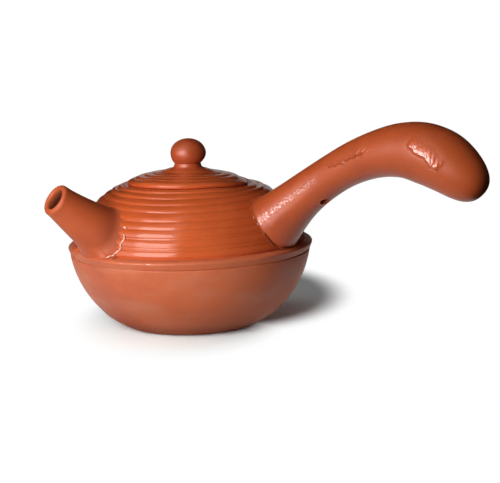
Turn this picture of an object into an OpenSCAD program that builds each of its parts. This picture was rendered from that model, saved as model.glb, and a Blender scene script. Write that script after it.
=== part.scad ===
// Side-handled clay teapot with a lift-off lid, in millimetres.
// The origin is the centre of the base, +Z is up and +X runs along the handle.
// Every luted piece is a solid of its own, cut to the surface that it sits on.

/* [Bowl] */
// Outside radius of the round of the bowl, in section
bowl_round_r = 43; // [40:0.5:50]
// Diameter of the flat base
base_d = 57; // [48:0.5:64]
// Height of the seam between the bowl and the shoulder
seam_z = 36.4; // [33:0.2:39]
// Thickness of the thrown wall
wall = 3.2; // [2.6:0.1:4]
// Thickness of the floor
floor_t = 4; // [3:0.1:6]
// Height of the thickened rim inside the bowl
rim_h = 6; // [4:0.5:9]

/* [Waist band] */
// Diameter over the waist band
band_d = 112; // [109:0.5:116]
// Height of the waist band
band_h = 5.2; // [4:0.1:6]
// Thickness of the strip that the waist band is made of
band_t = 3.8; // [3:0.1:4.6]
// Depth of the land for the strip in the side of the bowl
bowl_lap = 2.6; // [1.6:0.1:3]
// Depth of the land for the strip in the foot of the shoulder
shoulder_lap = 1.2; // [0.8:0.1:1.6]

/* [Shoulder] */
// Radius of the round of the shoulder, over the throwing ridges
shoulder_round_r = 36; // [34:0.5:42]
// Width of the shoulder's rim that shows round the lid, over the throwing ridges
seat_margin = 2.5; // [1.5:0.1:4]
// Height of the lid seat
seat_z = 64.8; // [62:0.2:68]
// Number of throwing ridges on the shoulder
ridge_count = 9; // [6:1:12]
// Height of a throwing ridge
ridge_h = 0.6; // [0.3:0.05:0.9]
// Diameter of the mouth
mouth_d = 45; // [40:0.5:48]
// Depth of the collar inside the mouth
collar_h = 6; // [4:0.5:9]

/* [Lid] */
// Lap of the lid over the rim of the mouth
lid_lap = 5; // [3.5:0.1:6.5]
// Thickness of the lid at its edge
lid_edge_t = 1.6; // [1.2:0.1:2.4]
// Rise of the lid from its edge to the knob
lid_rise = 4.8; // [4:0.2:9]
// Thickness of the lid's dome
lid_t = 3; // [2.4:0.1:3.6]
// Number of throwing ridges on the lid
lid_ridge_count = 4; // [2:1:5]
// Width of a throwing ridge on the lid
lid_ridge_w = 3.9; // [3:0.1:4.2]
// Height of a throwing ridge on the lid
lid_ridge_h = 0.5; // [0.3:0.05:0.7]
// Depth of the locating ring below the lid seat
ring_h = 7; // [4:0.5:12]
// Thickness of the locating ring
ring_t = 2.8; // [2:0.1:4]
// Gap between the locating ring and the mouth
ring_gap = 0.5; // [0.3:0.1:1]
// Diameter of the air hole in the lid
lid_vent_d = 2.4; // [1.6:0.2:3.2]
// Distance of the air hole from the middle of the lid
lid_vent_x = 14; // [12:0.5:16]
// Direction of the air hole, seen from above
lid_vent_turn = 105; // [0:5:355]

/* [Knob] */
// Width of the knob
knob_d = 15.6; // [13:0.2:19]
// Height of the round part of the knob
knob_h = 13.4; // [11:0.2:15]
// Height of the middle of the knob above the top of the lid
knob_rise = 6.9; // [5.5:0.1:9]
// Diameter of the neck of the knob
neck_d = 11.8; // [9:0.2:13]
// Radius of the hollow where the neck meets the lid
neck_hollow_r = 3.6; // [2:0.1:4]

/* [Spout] */
// Direction of the spout, seen from above, counted from the handle
spout_turn = -113; // [-140:1:-70]
// Slope of the spout
spout_rise = 36; // [28:0.5:44]
// Height at which the line of the spout crosses the axis of the pot
spout_axis_z = 14; // [8:0.5:20]
// Distance from that crossing to the tip, along the spout
spout_reach = 85; // [78:0.5:96]
// Outside diameter of the tip
spout_tip_d = 13.8; // [12:0.2:17]
// Diameter of the bore at the tip
spout_bore_d = 9.2; // [7:0.1:10]
// Length of the straight bore, measured from the tip
spout_bore_len = 14; // [8:0.5:17]
// Slope of the outside of the spout to its own axis
spout_taper = 9.5; // [5:0.5:13]
// Radius of the hollow where the spout meets the pot
spout_flare_r = 5; // [3:0.5:7]
// Depth by which that hollow follows the round of the pot
spout_flare_drop = 0.6; // [0:0.1:0.8]
// Diameter of the hole in the pot behind the spout
spout_hole_d = 16.4; // [13:0.2:18]

/* [Strainer] */
// Rise of the strainer's dome into the pot
strainer_rise = 6; // [4:0.5:7]
// Thickness of the strainer
strainer_t = 1.6; // [1.2:0.1:1.8]
// Depth of the strainer's collar in the wall of the pot
strainer_seat = 1.5; // [1:0.1:2]
// Diameter of a strainer hole
strainer_hole_d = 1.7; // [1:0.1:1.9]
// Width of the plain rim round the strainer holes
strainer_rim = 0.6; // [0.4:0.1:1.2]
// Number of rings of strainer holes
strainer_rings = 2; // [1:1:2]

/* [Handle] */
// Height of the middle of the handle's foot above the seam
foot_rise = 9.6; // [8:0.2:12]
// Depth by which the foot starts inside the wall of the shoulder, before it is cut to it
foot_sink = 3.8; // [3:0.1:5]
// Diameter of the foot
foot_d = 28.6; // [24:0.2:30]
// Distance from the foot out to the rise
rise_run = 16.5; // [12:0.5:20]
// Climb from the foot to the rise
rise_climb = 14; // [10:0.1:17]
// Diameter of the rise
rise_d = 20; // [16:0.2:24]
// Distance from the rise out to the waist
waist_run = 17; // [13:0.5:21]
// Climb from the rise to the waist
waist_climb = 11.8; // [8:0.1:15]
// Diameter of the waist
waist_d = 17.4; // [15:0.2:22]
// Distance from the waist out to the swell
swell_run = 18; // [14:0.5:22]
// Climb from the waist to the swell
swell_climb = 8.3; // [5:0.1:11]
// Diameter of the swell
swell_d = 18.8; // [16:0.2:24]
// Distance from the swell out to the crest
crest_run = 16; // [12:0.5:20]
// Climb from the swell to the crest
crest_climb = 3.3; // [1:0.1:6]
// Diameter of the crest
crest_d = 23; // [18:0.2:28]
// Distance from the crest out to the grip
grip_run = 14; // [11:0.5:17]
// Fall from the crest to the grip
grip_fall = 1.4; // [0:0.1:4]
// Diameter of the grip
grip_d = 25.8; // [20:0.2:30]
// Distance from the grip out to the heel
heel_run = 11; // [9:0.5:13]
// Fall from the grip to the heel
heel_fall = 5; // [3:0.1:7]
// Distance from the heel out to the end
end_run = 11; // [9:0.5:13]
// Fall from the heel to the end
end_fall = 10; // [7:0.1:13]
// Thickness of the handle's wall
handle_wall = 3; // [2.4:0.1:4]
// Diameter of the air hole under the handle
handle_vent_d = 3; // [2:0.2:4]
// Turn of the air hole from straight down towards the spout's side
handle_vent_turn = 10; // [0:5:60]

/* [Hidden] */
$fn = 120;

CLAY = "#b4562f";
CLAY_DARK = "#9f4a28";
CLAY_LIGHT = "#c0623a";
// Cutters run past the surfaces that they cut by this much
PAST = 1;
// Depth by which a hollow dips into the surface that it runs out on
FEATHER = 0.15;
// Sides and rings of the handle's skins
HANDLE_SIDES = 28;
HANDLE_STEPS = 4;
EGG_STEPS = 12;

// Bowl
base_r = base_d / 2;
band_r = band_d / 2;
land_r = band_r - band_t;
band_low = seam_z - band_h / 2;
band_high = seam_z + band_h / 2;
bowl_centre = round_centre([base_r, 0], [land_r + bowl_lap, band_low], bowl_round_r);

// Shoulder: the round runs through the seam and the lid seat
mouth_r = mouth_d / 2;
lid_r = mouth_r + lid_lap;
foot_point = [land_r + shoulder_lap, seam_z];
seat_point = [lid_r + seat_margin, seat_z];
shoulder_centre = round_centre(foot_point, seat_point, shoulder_round_r);
shoulder_skin_r = shoulder_round_r - ridge_h;
shoulder_inner_r = shoulder_skin_r - wall;
ridge_from = asin((band_high - shoulder_centre.y) / shoulder_round_r);
ridge_to = direction(seat_point - shoulder_centre);
ridge_step = (ridge_to - ridge_from) / ridge_count;
ridge_r = bead_radius(shoulder_round_r * ridge_step * PI / 180, ridge_h);
seam_inner_r = circle_reach(shoulder_centre, shoulder_inner_r, seam_z);

// Lid: the dome runs from the top of the edge to the root of the knob
lid_round_r = (pow(lid_r, 2) + pow(lid_rise, 2)) / (2 * lid_rise);
lid_top_z = seat_z + lid_edge_t + lid_rise;
lid_centre_z = lid_top_z - lid_round_r;
lid_ridge_r = bead_radius(lid_ridge_w, lid_ridge_h);
ring_r = mouth_r - ring_gap;
knob_z = lid_top_z + knob_rise;
neck_r = neck_d / 2;

// Spout and strainer, measured along the line of the spout
spout_tip_r = spout_tip_d / 2;
spout_bore_r = spout_bore_d / 2;
spout_hole_r = spout_hole_d / 2;
spout_lip_r = (spout_tip_r - spout_bore_r) / 2;
spout_bore_from = spout_reach - spout_bore_len;
spout_skin_at = line_reach(shoulder_skin_r);
spout_inner_at = line_reach(shoulder_inner_r);
strainer_pitch = (spout_hole_r - strainer_t - strainer_rim - strainer_hole_d / 2) / strainer_rings;
strainer_round_r = (pow(spout_hole_r, 2) + pow(strainer_rise, 2)) / (2 * strainer_rise);

// Handle: [distance out, climb, diameter] of each station from the one before it
handle_steps = [
    [0, 0, foot_d],
    [rise_run, rise_climb, rise_d],
    [waist_run, waist_climb, waist_d],
    [swell_run, swell_climb, swell_d],
    [crest_run, crest_climb, crest_d],
    [grip_run, -grip_fall, grip_d],
    [heel_run, -heel_fall, 0],
    [end_run, -end_fall, 0]
];
foot_z = seam_z + foot_rise;
foot_x = circle_reach(shoulder_centre, shoulder_inner_r, foot_z) - foot_sink;
// [distance from the axis, height, radius] at each station
handle_stations = [
    for (i = [0:len(handle_steps) - 1])
        let (p = handle_stop(i))
        [p.x, p.y, handle_steps[i][2] / 2]
];
handle_spans = len(handle_stations) - 1;
EGG_SPANS = 2;
egg_from = handle_spans - EGG_SPANS;

// Radius of a bead of that width which stands that high
function bead_radius(width, height) = (pow(width / 2, 2) + pow(height, 2)) / (2 * height);

// Direction of a vector in a section, from the horizontal
function direction(v) = atan2(v.y, v.x);

// Centre of a round of radius r through a and b, on the side of the pot's axis
function round_centre(a, b, r) =
    let (half = (b - a) / 2, rise = sqrt(r * r - half * half))
    a + half + rise * [-half.y, half.x] / norm(half);

// Distance from the axis at which a round about centre is at height z
function circle_reach(centre, r, z) = centre.x + sqrt(r * r - pow(z - centre.y, 2));

// Distance along the line of the spout at which it leaves a round of the shoulder
function line_reach(r) =
    let (
        along = [cos(spout_rise), sin(spout_rise)],
        offset = [0, spout_axis_z] - shoulder_centre,
        half = along * offset
    )
    -half + sqrt(half * half - offset * offset + r * r);

// Outside radius of the spout at a distance along its line
function spout_r(at) = spout_tip_r + (spout_reach - at) * tan(spout_taper);

// Value of a smooth curve through b and c, whose slopes follow a and d
function curve(a, b, c, d, t) =
    b + t / 2 * (c - a + t * (2 * a - 5 * b + 4 * c - d + t * (3 * b - a - 3 * c + d)));

// Place [x, z] of a station of the handle
function handle_stop(i) =
    i == 0 ? [foot_x, foot_z] : handle_stop(i - 1) + [handle_steps[i][0], handle_steps[i][1]];

// Station of the handle, with the first and last repeated past the ends
function station(i) = handle_stations[max(0, min(handle_spans, i))];

// Point [x, z] of the handle's middle line, where u counts spans
function handle_point(u) =
    let (i = min(floor(u), handle_spans - 1), v = curve(station(i - 1), station(i), station(i + 1), station(i + 2), u - i))
    [v[0], v[1]];

// Radius of the handle, closing like an egg from the grip to the end
function handle_radius(u) =
    let (i = min(floor(u), egg_from - 1), t = (u - egg_from) / EGG_SPANS)
    t > 0
        ? station(egg_from)[2] * sqrt(max(0, 1 - t * t))
        : curve(station(i - 1), station(i), station(i + 1), station(i + 2 > egg_from ? i : i + 2), u - i)[2];

// Unit vector [x, z] along the handle
function handle_along(u) =
    let (step = 0.02, v = handle_point(min(u + step, handle_spans)) - handle_point(max(u - step, 0)))
    v / norm(v);

// Ring of points of radius r about the handle's middle line
function handle_ring(u, r) =
    let (c = handle_point(u), along = handle_along(u))
    [for (k = [0:HANDLE_SIDES - 1])
        let (turn = 360 * k / HANDLE_SIDES)
        [c.x - r * sin(turn) * along.y, r * cos(turn), c.y + r * sin(turn) * along.x]];

// Triangles between two rings of a skin, which start at points a and b
function skin_faces(a, b) = [
    for (k = [0:HANDLE_SIDES - 1])
        let (n = (k + 1) % HANDLE_SIDES)
        each [[a + k, b + k, b + n], [a + k, b + n, a + n]]
];

// Triangles from a ring of a skin to one point
function fan_faces(ring, point) = [
    for (k = [0:HANDLE_SIDES - 1]) [ring + k, point, ring + (k + 1) % HANDLE_SIDES]
];

function flipped(faces) = [for (f = faces) [f[2], f[1], f[0]]];

// Places a child that points up so that it points along v
module pointing(v) {
    rotate([0, acos(v.z / norm(v)), atan2(v.y, v.x)]) children();
}

// Places a child, drawn about +Z from the crossing, on the line of the spout
module on_spout_line() {
    translate([0, 0, spout_axis_z]) rotate([0, 90 - spout_rise, spout_turn]) children();
}

module bowl_outside_section() {
    intersection() {
        translate(bowl_centre) circle(bowl_round_r);
        square([band_r, seam_z]);
    }
}

// Thickening inside the rim, which carries the shoulder
module bowl_rim_section() {
    polygon([
        [seam_inner_r, seam_z + PAST],
        [seam_inner_r, seam_z - rim_h / 2],
        [seam_inner_r + wall, seam_z - rim_h],
        [band_r, seam_z - rim_h],
        [band_r, seam_z + PAST]
    ]);
}

module bowl_inside_section() {
    difference() {
        intersection() {
            translate(bowl_centre) circle(bowl_round_r - wall);
            translate([0, floor_t]) square([band_r, seam_z]);
        }
        bowl_rim_section();
    }
}

// Space taken by the waist band and everything outside it
module land_section() {
    translate([land_r, band_low]) square([band_r, band_h]);
}

module band_section() {
    intersection() {
        union() {
            translate([band_r - band_h / 2, seam_z]) circle(band_h / 2);
            translate([land_r, band_low]) square([band_r - band_h / 2 - land_r, band_h]);
        }
        land_section();
    }
}

module shoulder_outside_section() {
    intersection() {
        union() {
            translate(shoulder_centre) circle(shoulder_skin_r);
            for (i = [0:ridge_count - 1]) {
                turn = ridge_from + (i + 0.5) * ridge_step;
                translate(shoulder_centre + (shoulder_round_r - ridge_r) * [cos(turn), sin(turn)])
                    circle(ridge_r);
            }
        }
        translate([0, seam_z]) square([band_r, seat_z - seam_z]);
    }
}

module shoulder_section() {
    difference() {
        shoulder_outside_section();
        translate(shoulder_centre) circle(shoulder_inner_r);
        square([mouth_r, seat_z + PAST]);
        land_section();
    }
    translate([mouth_r, seat_z - collar_h]) square([wall, collar_h]);
}

module lid_section() {
    difference() {
        intersection() {
            union() {
                translate([0, lid_centre_z]) circle(lid_round_r);
                lid_ridges_section();
            }
            translate([0, seat_z]) square([lid_r, lid_rise + lid_edge_t + PAST]);
        }
        lid_hollow_section();
    }
}

module lid_ridges_section() {
    for (i = [0:lid_ridge_count - 1]) {
        turn = 90 - asin((lid_r - (i + 0.5) * lid_ridge_w) / lid_round_r);
        reach = lid_round_r + lid_ridge_h - lid_ridge_r;
        translate([reach * cos(turn), lid_centre_z + reach * sin(turn)]) circle(lid_ridge_r);
    }
}

module lid_hollow_section() {
    translate([0, lid_centre_z]) circle(lid_round_r - lid_t);
}

module ring_section() {
    intersection() {
        translate([ring_r - ring_t, seat_z - ring_h]) square([ring_t, ring_h + lid_rise]);
        lid_hollow_section();
    }
}

module knob_section() {
    difference() {
        union() {
            translate([knob_d / 2 - knob_h / 2, knob_z]) circle(knob_h / 2);
            translate([0, knob_z - knob_h / 2]) square([knob_d / 2 - knob_h / 2, knob_h]);
            translate([0, lid_top_z - lid_rise]) square([neck_r, knob_z - lid_top_z + lid_rise]);
            neck_foot_section();
        }
        translate([0, lid_centre_z]) circle(lid_round_r);
    }
}

// Spread foot of the knob, hollowed where it meets the neck
module neck_foot_section() {
    hollow_x = neck_r + neck_hollow_r;
    hollow_z = lid_centre_z - FEATHER + sqrt(pow(lid_round_r + neck_hollow_r, 2) - pow(hollow_x, 2));
    difference() {
        translate([0, lid_top_z - lid_rise]) square([hollow_x, hollow_z - lid_top_z + lid_rise]);
        translate([hollow_x, hollow_z]) circle(neck_hollow_r);
    }
}

module spout_outside_section() {
    foot_at = spout_inner_at;
    shoulder_at = spout_reach - spout_lip_r;
    polygon([
        [0, foot_at],
        [spout_r(foot_at), foot_at],
        [spout_tip_r, shoulder_at],
        [0, shoulder_at]
    ]);
    translate([spout_tip_r - spout_lip_r, shoulder_at]) circle(spout_lip_r);
    spout_flare_section();
}

module spout_flare_section() {
    hollow_at = spout_skin_at + spout_flare_r - spout_flare_drop;
    hollow_x = spout_r(hollow_at) + spout_flare_r;
    difference() {
        translate([0, spout_inner_at]) square([hollow_x, hollow_at - spout_inner_at]);
        translate([hollow_x, hollow_at]) circle(spout_flare_r);
    }
}

module spout_inside_section() {
    polygon([
        [0, spout_inner_at - PAST],
        [spout_hole_r, spout_inner_at - PAST],
        [spout_hole_r, spout_skin_at],
        [spout_bore_r, spout_bore_from],
        [spout_bore_r, spout_reach + PAST],
        [0, spout_reach + PAST]
    ]);
}

// Everything inside the outer surface of the closed pot
module pot_envelope() {
    rotate_extrude() {
        bowl_outside_section();
        square([land_r, seam_z]);
        band_section();
        shoulder_outside_section();
    }
}

module lower_bowl() {
    color(CLAY) rotate_extrude() difference() {
        bowl_outside_section();
        bowl_inside_section();
        land_section();
    }
}

module waist_band() {
    color(CLAY_DARK) rotate_extrude() band_section();
}

module ribbed_shoulder() {
    color(CLAY) difference() {
        rotate_extrude() shoulder_section();
        on_spout_line() translate([0, 0, spout_inner_at - strainer_rise])
            cylinder(h = strainer_rise + spout_skin_at - spout_inner_at + spout_flare_r, r = spout_hole_r);
    }
}

module spout() {
    color(CLAY_LIGHT) difference() {
        on_spout_line() rotate_extrude() difference() {
            spout_outside_section();
            spout_inside_section();
        }
        pot_envelope();
    }
}

// Dome of the strainer with its middle hole, and the collar that holds it in the wall
module strainer_section() {
    dome_at = spout_inner_at + strainer_round_r - strainer_rise;
    difference() {
        intersection() {
            translate([0, dome_at]) circle(strainer_round_r);
            translate([0, spout_inner_at - strainer_rise]) square([spout_hole_r, strainer_rise]);
        }
        translate([0, dome_at]) circle(strainer_round_r - strainer_t);
        translate([0, spout_inner_at - strainer_rise]) square([strainer_hole_d / 2, strainer_rise]);
    }
    translate([spout_hole_r - strainer_t, spout_inner_at]) square([strainer_t, strainer_seat]);
}

module spout_strainer() {
    color(CLAY_DARK) on_spout_line() difference() {
        rotate_extrude() strainer_section();
        translate([0, 0, spout_inner_at - strainer_rise - PAST]) strainer_holes();
    }
}

module strainer_holes() {
    for (ring = [1:strainer_rings], k = [1:6 * ring])
        rotate(60 * k / ring) translate([ring * strainer_pitch, 0])
            cylinder(h = strainer_rise + strainer_t + 2 * PAST, d = strainer_hole_d);
}

module handle() {
    color(CLAY_LIGHT) difference() {
        handle_tube();
        pot_envelope();
        handle_vent();
    }
}

// Hollow tube, closed at its far end and open where it meets the pot
module handle_tube() {
    body_u = [for (i = [0:egg_from * HANDLE_STEPS]) i / HANDLE_STEPS];
    egg_u = [for (i = [1:EGG_STEPS - 1]) egg_from + EGG_SPANS * sin(90 * i / EGG_STEPS)];
    outer_u = concat(body_u, egg_u);
    inner_u = [for (u = outer_u) if (handle_radius(u) > 2 * handle_wall) u];
    outer_points = [for (u = outer_u) each handle_ring(u, handle_radius(u))];
    inner_points = [for (u = inner_u) each handle_ring(u, handle_radius(u) - handle_wall)];
    tip = handle_point(handle_spans);
    inner_tip = handle_point(inner_u[len(inner_u) - 1]);
    inner_from = len(outer_points);
    outer_tip_at = inner_from + len(inner_points);
    outer_last = inner_from - HANDLE_SIDES;
    inner_last = outer_tip_at - HANDLE_SIDES;
    outer_faces = [
        for (i = [0:len(outer_u) - 2]) each skin_faces(i * HANDLE_SIDES, (i + 1) * HANDLE_SIDES)
    ];
    inner_faces = [
        for (i = [0:len(inner_u) - 2])
            each skin_faces(inner_from + i * HANDLE_SIDES, inner_from + (i + 1) * HANDLE_SIDES)
    ];
    polyhedron(
        points = concat(outer_points, inner_points, [[tip.x, 0, tip.y], [inner_tip.x, 0, inner_tip.y]]),
        faces = concat(
            outer_faces,
            fan_faces(outer_last, outer_tip_at),
            flipped(inner_faces),
            flipped(fan_faces(inner_last, outer_tip_at + 1)),
            skin_faces(inner_from, 0)
        )
    );
}

module handle_vent() {
    u = 1.45;
    c = handle_point(u);
    along = handle_along(u);
    down = [along.y, 0, -along.x] * cos(handle_vent_turn) + [0, -1, 0] * sin(handle_vent_turn);
    translate([c.x, 0, c.y]) pointing(down) cylinder(h = rise_d, d = handle_vent_d);
}

module lid_dome() {
    color(CLAY) difference() {
        rotate_extrude() lid_section();
        rotate(lid_vent_turn) translate([lid_vent_x, 0, seat_z])
            cylinder(h = lid_top_z - seat_z + PAST, d = lid_vent_d);
    }
}

module lid_locating_ring() {
    color(CLAY_DARK) rotate_extrude() ring_section();
}

module lid_knob() {
    color(CLAY_LIGHT) rotate_extrude() intersection() {
        knob_section();
        translate([0, lid_top_z - lid_rise]) square([band_r, knob_z]);
    }
}

lower_bowl();
waist_band();
ribbed_shoulder();
spout();
spout_strainer();
handle();
lid_dome();
lid_locating_ring();
lid_knob();
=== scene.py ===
# %% [markdown]
# # A side-handled clay teapot
# The pot is thrown in red clay, luted together while the clay is leather hard, and fired without a glaze.
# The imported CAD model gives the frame. Sizes are in millimetres and most of them are the CAD's own, since
# every new surface is laid over a CAD solid. What Blender adds is the hand of the potter: uneven throwing
# ridges, a spout set on a little askew, a lid out of true, a slip line, an air hole, a scar and a torn patch
# on the handle.

# %% Load the frame
import bpy
import numpy as np
from mathutils import Matrix, Vector


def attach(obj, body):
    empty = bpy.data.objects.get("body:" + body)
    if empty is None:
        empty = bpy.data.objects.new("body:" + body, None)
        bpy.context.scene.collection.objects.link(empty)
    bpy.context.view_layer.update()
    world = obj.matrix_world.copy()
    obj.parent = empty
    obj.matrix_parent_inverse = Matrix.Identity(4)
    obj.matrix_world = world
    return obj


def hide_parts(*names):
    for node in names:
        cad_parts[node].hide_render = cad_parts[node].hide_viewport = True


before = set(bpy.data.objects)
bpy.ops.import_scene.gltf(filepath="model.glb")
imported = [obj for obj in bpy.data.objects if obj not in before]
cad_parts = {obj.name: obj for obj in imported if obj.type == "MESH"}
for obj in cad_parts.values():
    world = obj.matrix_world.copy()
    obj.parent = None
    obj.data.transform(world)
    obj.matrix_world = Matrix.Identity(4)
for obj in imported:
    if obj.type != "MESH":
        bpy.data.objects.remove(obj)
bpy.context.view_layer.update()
MM = 0.001
print("CAD nodes:", ", ".join(sorted(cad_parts)))

# %% [markdown]
# ## Where the camera stands
# The photograph is 500 by 483 pixels. Its camera was fitted to the rims of the waist band, the base and the
# lid, so its place and its three angles are known. A camera could be aimed with a constraint, but three axes
# written into its matrix also hold the small roll of the picture.

# %% Camera
PICTURE_WIDTH, FOCAL_PIXELS, SENSOR = 500, 1731, 36
CAMERA_TURN = np.radians(-35)
camera_at = Vector((0.44911, -0.64140, 0.170))
heading, pitch, roll = CAMERA_TURN + 0.035, 0.169, 0.028
ahead = Vector((np.sin(heading) * np.cos(pitch), np.cos(heading) * np.cos(pitch), -np.sin(pitch)))
level = Vector((np.cos(heading), -np.sin(heading), 0))
above = level.cross(ahead)
right = level * np.cos(roll) - above * np.sin(roll)
up = level * np.sin(roll) + above * np.cos(roll)
camera = bpy.data.objects.new("camera", bpy.data.cameras.new("camera"))
camera.matrix_world = Matrix.Translation(camera_at) @ Matrix((right, up, -ahead)).transposed().to_4x4()
camera.data.sensor_width = SENSOR
camera.data.lens = SENSOR * FOCAL_PIXELS / PICTURE_WIDTH
bpy.context.scene.collection.objects.link(camera)
bpy.context.scene.camera = camera
print("lens", round(camera.data.lens, 1), "mm")

# %% [markdown]
# ## Node groups for fired clay
# Every piece is the same clay, but the bowl is dry and matt, the ribbed shoulder is burnished and the handle
# is smooth. Three effects are shared, so each is a node group that is built once: clouds of lighter and
# darker clay, the fine grain of the fired skin, and the lines that a finger leaves on the wheel.

# %% Helpers for nodes
def wire(tree, kind, into=None, **settings):
    """Adds a node, sets its settings, and links or sets its inputs."""
    node = tree.nodes.new("ShaderNode" + kind)
    for name, value in settings.items():
        setattr(node, name, value)
    for socket, value in (into or {}).items():
        if isinstance(value, bpy.types.NodeSocket):
            tree.links.new(value, node.inputs[socket])
        else:
            node.inputs[socket].default_value = value
    return node


def reckon(tree, operation, *values):
    """One operation on values or sockets, by a Math node."""
    return wire(tree, "Math", dict(enumerate(values)), operation=operation).outputs[0]


def scaled(tree, vector, by):
    """A colour or a place times a value, part by part, by a Vector Math node."""
    return wire(tree, "VectorMath", {0: vector, 1: by}, operation="MULTIPLY").outputs["Vector"]


def blend(tree, share, a, b):
    """Colour a where the share is 0 and colour b where it is 1, by a Mix node."""
    return wire(tree, "Mix", {0: share, 6: a, 7: b}, data_type="RGBA").outputs[2]


def ramp(tree, value, begin=0.0, end=1.0, first=0.0, last=1.0, **settings):
    """From first, where the value is begin, to last, where it is end, by a Map Range node."""
    into = {"Value": value, "From Min": begin, "From Max": end, "To Min": first, "To Max": last}
    return wire(tree, "MapRange", into, **settings).outputs["Result"]


def open_group(name, takes, gives):
    """Starts a node group with named inputs and outputs, and returns it with both ends."""
    group = bpy.data.node_groups.new(name, "ShaderNodeTree")
    for socket, kind, value in takes:
        made = group.interface.new_socket(socket, in_out="INPUT", socket_type="NodeSocket" + kind)
        made.default_value = value
    for socket, kind in gives:
        group.interface.new_socket(socket, in_out="OUTPUT", socket_type="NodeSocket" + kind)
    return group, group.nodes.new("NodeGroupInput").outputs, group.nodes.new("NodeGroupOutput").inputs


def clay_colour(red, green, blue):
    """Turns a colour as a screen shows it, 0 to 255, into the linear values that a shader takes."""
    c = np.array([red, green, blue]) / 255
    linear = np.where(c <= 0.04045, c / 12.92, ((c + 0.055) / 1.055) ** 2.4)
    return (*[float(x) for x in linear], 1.0)


# %% Clouds in the clay
PALE_BLOOM = clay_colour(212, 140, 110)
SOFT_ENDS = {"interpolation_type": "SMOOTHSTEP"}
clay_clouds, takes, gives = open_group(
    "clay_clouds",
    [("Tint", "Color", (1, 1, 1, 1)), ("Shade", "Color", (0, 0, 0, 1)), ("Scale", "Float", 40.0),
     ("Bloom", "Float", 0.0)],
    [("Color", "Color"), ("Cloud", "Float")],
)
spot = wire(clay_clouds, "TexCoord").outputs["Object"]
broad = wire(clay_clouds, "TexNoise",
             {"Vector": spot, "Scale": takes["Scale"], "Detail": 4.0, "Roughness": 0.55})
cloud = ramp(clay_clouds, broad.outputs["Fac"], 0.33, 0.67, **SOFT_ENDS)
body = blend(clay_clouds, cloud, takes["Shade"], takes["Tint"])
flat = scaled(clay_clouds, spot, (1.0, 1.0, 2.6))
wiped = wire(clay_clouds, "TexNoise", {"Vector": flat, "Scale": 38.0, "Detail": 2.0})
wiped = ramp(clay_clouds, wiped.outputs["Fac"], 0.42, 0.72, **SOFT_ENDS)
body = blend(clay_clouds, reckon(clay_clouds, "MULTIPLY", wiped, takes["Bloom"]), body, PALE_BLOOM)
speck = wire(clay_clouds, "TexNoise", {"Vector": spot, "Scale": 1800.0, "Detail": 2.0})
speck = ramp(clay_clouds, speck.outputs["Fac"], 0.3, 0.7, 0.93, 1.04)
clay_clouds.links.new(scaled(clay_clouds, body, speck), gives["Color"])
clay_clouds.links.new(cloud, gives["Cloud"])
print("group", clay_clouds.name, "has", len(clay_clouds.nodes), "nodes")

# %% Grain of the fired skin
fired_grain, takes, gives = open_group(
    "fired_grain", [("Scale", "Float", 900.0), ("Depth", "Float", 1.0)],
    [("Height", "Float"), ("Speckle", "Float")])
spot = wire(fired_grain, "TexCoord").outputs["Object"]
coarse = wire(fired_grain, "TexNoise",
              {"Vector": spot, "Scale": takes["Scale"], "Detail": 3.0, "Roughness": 0.6}).outputs["Fac"]
fired_grain.links.new(reckon(fired_grain, "MULTIPLY", coarse, takes["Depth"]), gives["Height"])
fired_grain.links.new(coarse, gives["Speckle"])
print("group", fired_grain.name, "has", len(fired_grain.nodes), "nodes")

# %% Lines from the wheel
wheel_lines, takes, gives = open_group(
    "wheel_lines", [("Lines", "Float", 900.0), ("Waver", "Float", 6.0), ("Depth", "Float", 1.0)],
    [("Height", "Float")])
spot = wire(wheel_lines, "SeparateXYZ", {0: wire(wheel_lines, "TexCoord").outputs["Object"]}).outputs
stretched = wire(wheel_lines, "CombineXYZ", {
    axis: reckon(wheel_lines, "MULTIPLY", spot[axis], takes[by])
    for axis, by in (("X", "Waver"), ("Y", "Waver"), ("Z", "Lines"))})
lines = wire(wheel_lines, "TexNoise", {"Vector": stretched.outputs[0], "Scale": 1.0, "Detail": 2.0})
deep = reckon(wheel_lines, "MULTIPLY", lines.outputs["Fac"], takes["Depth"])
wheel_lines.links.new(deep, gives["Height"])
print("group", wheel_lines.name, "has", len(wheel_lines.nodes), "nodes")

# %% [markdown]
# ## The finishes
# One function puts the groups together, and each finish has its own values. Two marks are stored on the mesh.
# One of them is painted shade: it is 1 in the bottom of a groove and more in a hole, and there the colour is
# painted darker, as shade, and the clay a little duller. Below 0 it is paler, as torn clay is. The mark
# called burnish is high
# where a thumb or a stone has polished the clay. A polish is a thin clear coat, and the grain breaks it into
# a fine speckle where the mark is not quite 1. Where a mesh has no such mark, the value is 0 and nothing
# changes.

# %% Clay finishes
SHADE_MARK_DULL, BUMP_DEPTH = 0.08, 0.0001
POLISH_BEGINS, POLISH_FULL = 1.05, 1.16
COAT_ROUGH, COAT_IOR = 0.20, 1.85


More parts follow.
